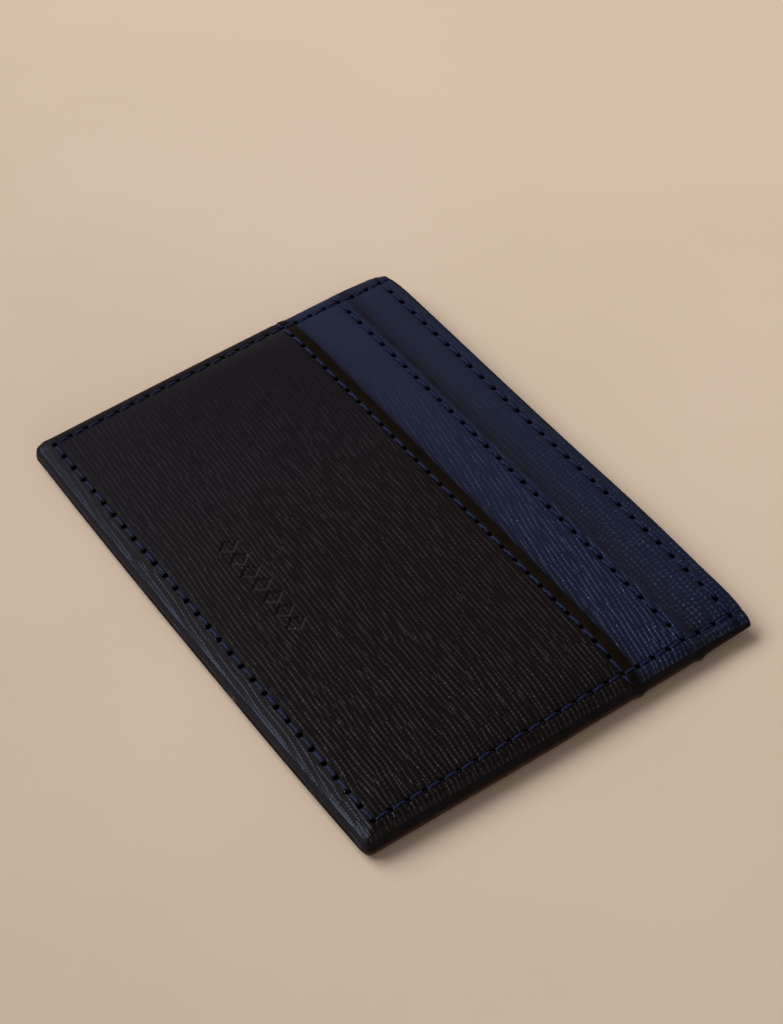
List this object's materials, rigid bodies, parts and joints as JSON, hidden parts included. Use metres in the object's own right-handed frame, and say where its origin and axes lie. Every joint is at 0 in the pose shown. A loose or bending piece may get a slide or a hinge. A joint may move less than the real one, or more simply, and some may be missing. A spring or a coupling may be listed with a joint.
{
  "type": "card holder",
  "caption": "Flat leather card holder with stepped card pockets on both faces and a centre compartment, sewn on three sides and open along the long top edge.",
  "frame": {"origin": "middle of the back face, which is the face that the holder lies on", "axes": "+X along the long edge, +Y towards the open mouth, +Z out of the front face"},
  "size_m": [0.1, 0.072, 0.0067],
  "materials": {
    "outer_leather": "cross-grain embossed, satin, brown-black",
    "inner_leather": "cross-grain embossed, satin, navy blue",
    "body_leather": "cross-grain embossed, satin, greyed navy",
    "lining": "fine twill, matte",
    "thread": "twisted polyester, soft sheen, blue",
    "mouth_paint": "smooth edge paint, satin, warm brown",
    "edge_paint": "smooth edge paint, satin, brown-black"
  },
  "bodies": {
    "root": {"front_outer_pocket": "outer_leather", "front_outer_pocket_lining": "lining", "front_inner_pocket": "inner_leather", "front_inner_pocket_lining": "lining", "front_body_panel": "body_leather", "front_body_lining": "lining", "back_body_lining": "lining", "back_body_panel": "body_leather", "back_inner_pocket_lining": "lining", "back_inner_pocket": "inner_leather", "back_outer_pocket_lining": "lining", "back_outer_pocket": "outer_leather", "front_perimeter_thread": "thread", "back_perimeter_thread": "thread", "front_outer_mouth_thread": "thread", "front_inner_mouth_thread": "thread", "front_body_mouth_thread": "thread", "back_outer_mouth_thread": "thread", "back_inner_mouth_thread": "thread", "back_body_mouth_thread": "thread", "front_outer_mouth_paint": "mouth_paint", "front_inner_mouth_paint": "mouth_paint", "front_body_mouth_paint": "mouth_paint", "back_outer_mouth_paint": "mouth_paint", "back_inner_mouth_paint": "mouth_paint", "back_body_mouth_paint": "mouth_paint", "left_edge_paint": "edge_paint", "bottom_edge_paint": "edge_paint", "right_edge_paint": "edge_paint"}
  },
  "joints": []
}
